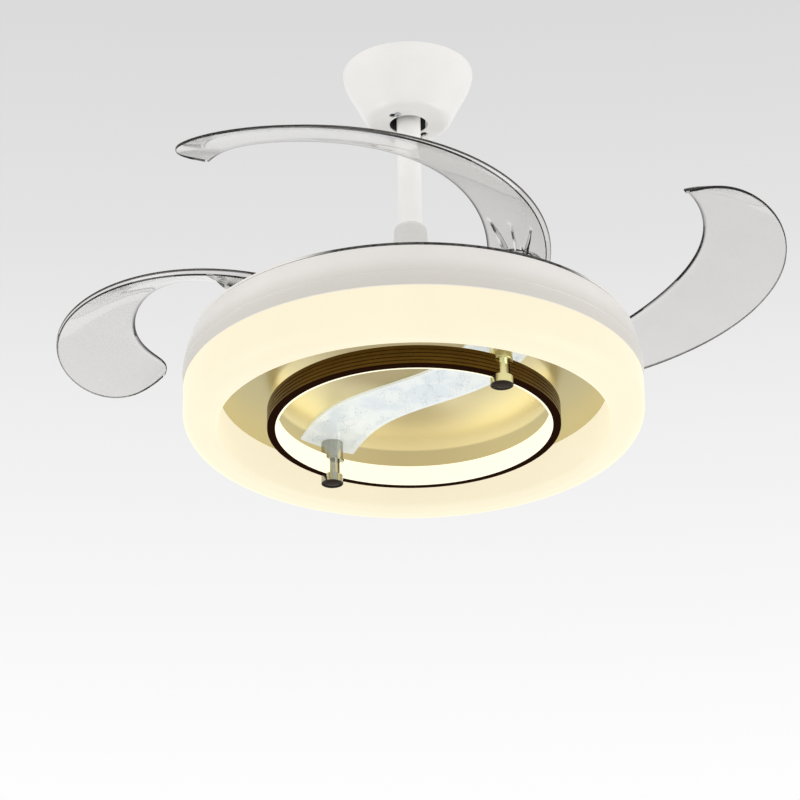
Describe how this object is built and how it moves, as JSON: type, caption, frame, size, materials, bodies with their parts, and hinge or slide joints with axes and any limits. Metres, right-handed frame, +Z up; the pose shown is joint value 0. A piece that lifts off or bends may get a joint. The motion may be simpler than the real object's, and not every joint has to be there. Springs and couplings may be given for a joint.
{
  "type": "ceiling fan",
  "caption": "Ceiling fan with a ring lamp under a white drum; curved clear blades fold inwards over the drum, geared together, below a downrod and canopy.",
  "frame": {"origin": "middle of the hanger bracket's upper face, in the plane of the ceiling", "axes": "+Z up through the ceiling, along the downrod; -Y towards the viewer of the picture; +X to the viewer's right"},
  "size_m": [0.8032, 0.8032, 0.454],
  "materials": {
    "white_steel": "satin white paint",
    "black_steel": "black paint",
    "white_plastic": "smooth white",
    "galvanised": "zinc plated",
    "bright_steel": "ground and polished",
    "cast_alloy": "as cast",
    "lamination": "stacked sheet steel",
    "copper_wire": "enamelled winding",
    "ferrite": "dark sintered",
    "opal": "opal, lit warm",
    "circuit_board": "white solder mask",
    "led": "yellow phosphor",
    "satin_gold": "satin gold",
    "bronze": "dark bronze",
    "gold_chrome": "polished gold",
    "dark_disc": "faceted, dark",
    "crystal": "engraved clear acrylic",
    "clear_blade": "clear plastic",
    "clear_tray": "clear plastic",
    "nylon": "natural nylon",
    "bush_brass": "sintered",
    "rubber": "black",
    "ball_nylon": "black nylon",
    "grey_plastic": "light grey"
  },
  "bodies": {
    "ceiling_mount": {"hanger_bracket": "black_steel", "canopy": "white_plastic", "canopy_screws": "bright_steel"},
    "suspension": {"hanger_ball": "ball_nylon", "hanger_pin": "bright_steel", "downrod": "white_steel", "rod_coupling": "galvanised", "coupling_bolt": "bright_steel", "coupling_set_screws": "galvanised", "coupling_cover": "white_plastic", "motor_shaft": "bright_steel", "shaft_collar": "galvanised", "stator_core": "lamination", "stator_coils": "copper_wire", "shaft_flange_screws": "bright_steel", "lamp_chassis": "white_steel", "drum": "white_plastic", "drum_screws": "bright_steel", "led_board": "circuit_board", "led_chips": "led", "ring_diffuser": "opal", "gold_plate": "satin_gold", "crystal_band": "crystal", "hoop_left": "bronze", "hoop_right": "bronze", "hoop_light_strips": "opal", "standoff_posts": "gold_chrome", "standoff_caps": "gold_chrome", "cap_discs": "dark_disc", "standoff_nuts": "bright_steel", "led_driver": "grey_plastic", "receiver": "white_plastic", "terminal_block": "nylon"},
    "rotor": {"rotor_cover_upper": "cast_alloy", "rotor_cover_lower": "cast_alloy", "motor_magnets": "ferrite", "motor_bearings": "bright_steel", "rotor_screws": "bright_steel", "blade_carrier": "cast_alloy", "carrier_screws": "bright_steel", "blade_tray": "clear_tray", "spindle_bushes": "bush_brass", "return_springs": "bright_steel", "stop_bumpers": "rubber", "ring_keepers": "galvanised"},
    "sync_ring": {"sync_ring": "nylon"},
    "blade_1": {"blade_1": "clear_blade", "spindle_1": "bright_steel", "blade_gear_1": "nylon"},
    "blade_2": {"blade_2": "clear_blade", "spindle_2": "bright_steel", "blade_gear_2": "nylon"},
    "blade_3": {"blade_3": "clear_blade", "spindle_3": "bright_steel", "blade_gear_3": "nylon"},
    "blade_4": {"blade_4": "clear_blade", "spindle_4": "bright_steel", "blade_gear_4": "nylon"}
  },
  "joints": [
    {"name": "hanger_tilt", "type": "hinge", "parent": "ceiling_mount", "child": "suspension", "pos_m": [0, 0, -0.036], "axis": [1, 0, 0], "range_deg": [-8, 8]},
    {"name": "rotor_spin", "type": "hinge", "parent": "suspension", "child": "rotor", "pos_m": [0, 0, -0.371], "axis": [0, 0, 1], "continuous": true},
    {"name": "blade_1_fold", "type": "hinge", "parent": "rotor", "child": "blade_1", "pos_m": [0.10874, -0.14967, -0.3465], "axis": [0, 0, -1], "range_deg": [0, 62.5]},
    {"name": "blade_2_fold", "type": "hinge", "parent": "rotor", "child": "blade_2", "pos_m": [0.14967, 0.10874, -0.3465], "axis": [0, 0, -1], "range_deg": [0, 62.5]},
    {"name": "blade_3_fold", "type": "hinge", "parent": "rotor", "child": "blade_3", "pos_m": [-0.10874, 0.14967, -0.3465], "axis": [0, 0, -1], "range_deg": [0, 62.5]},
    {"name": "blade_4_fold", "type": "hinge", "parent": "rotor", "child": "blade_4", "pos_m": [-0.14967, -0.10874, -0.3465], "axis": [0, 0, -1], "range_deg": [0, 62.5]},
    {"name": "sync_ring_turn", "type": "hinge", "parent": "rotor", "child": "sync_ring", "pos_m": [0, 0, -0.365], "axis": [0, 0, -1], "range_deg": [-15.65, 0]}
  ],
  "couplings": [
    {"joint": "blade_2_fold", "follows": "blade_1_fold", "ratio": 1},
    {"joint": "blade_3_fold", "follows": "blade_1_fold", "ratio": 1},
    {"joint": "blade_4_fold", "follows": "blade_1_fold", "ratio": 1},
    {"joint": "sync_ring_turn", "follows": "blade_1_fold", "ratio": -0.25}
  ]
}
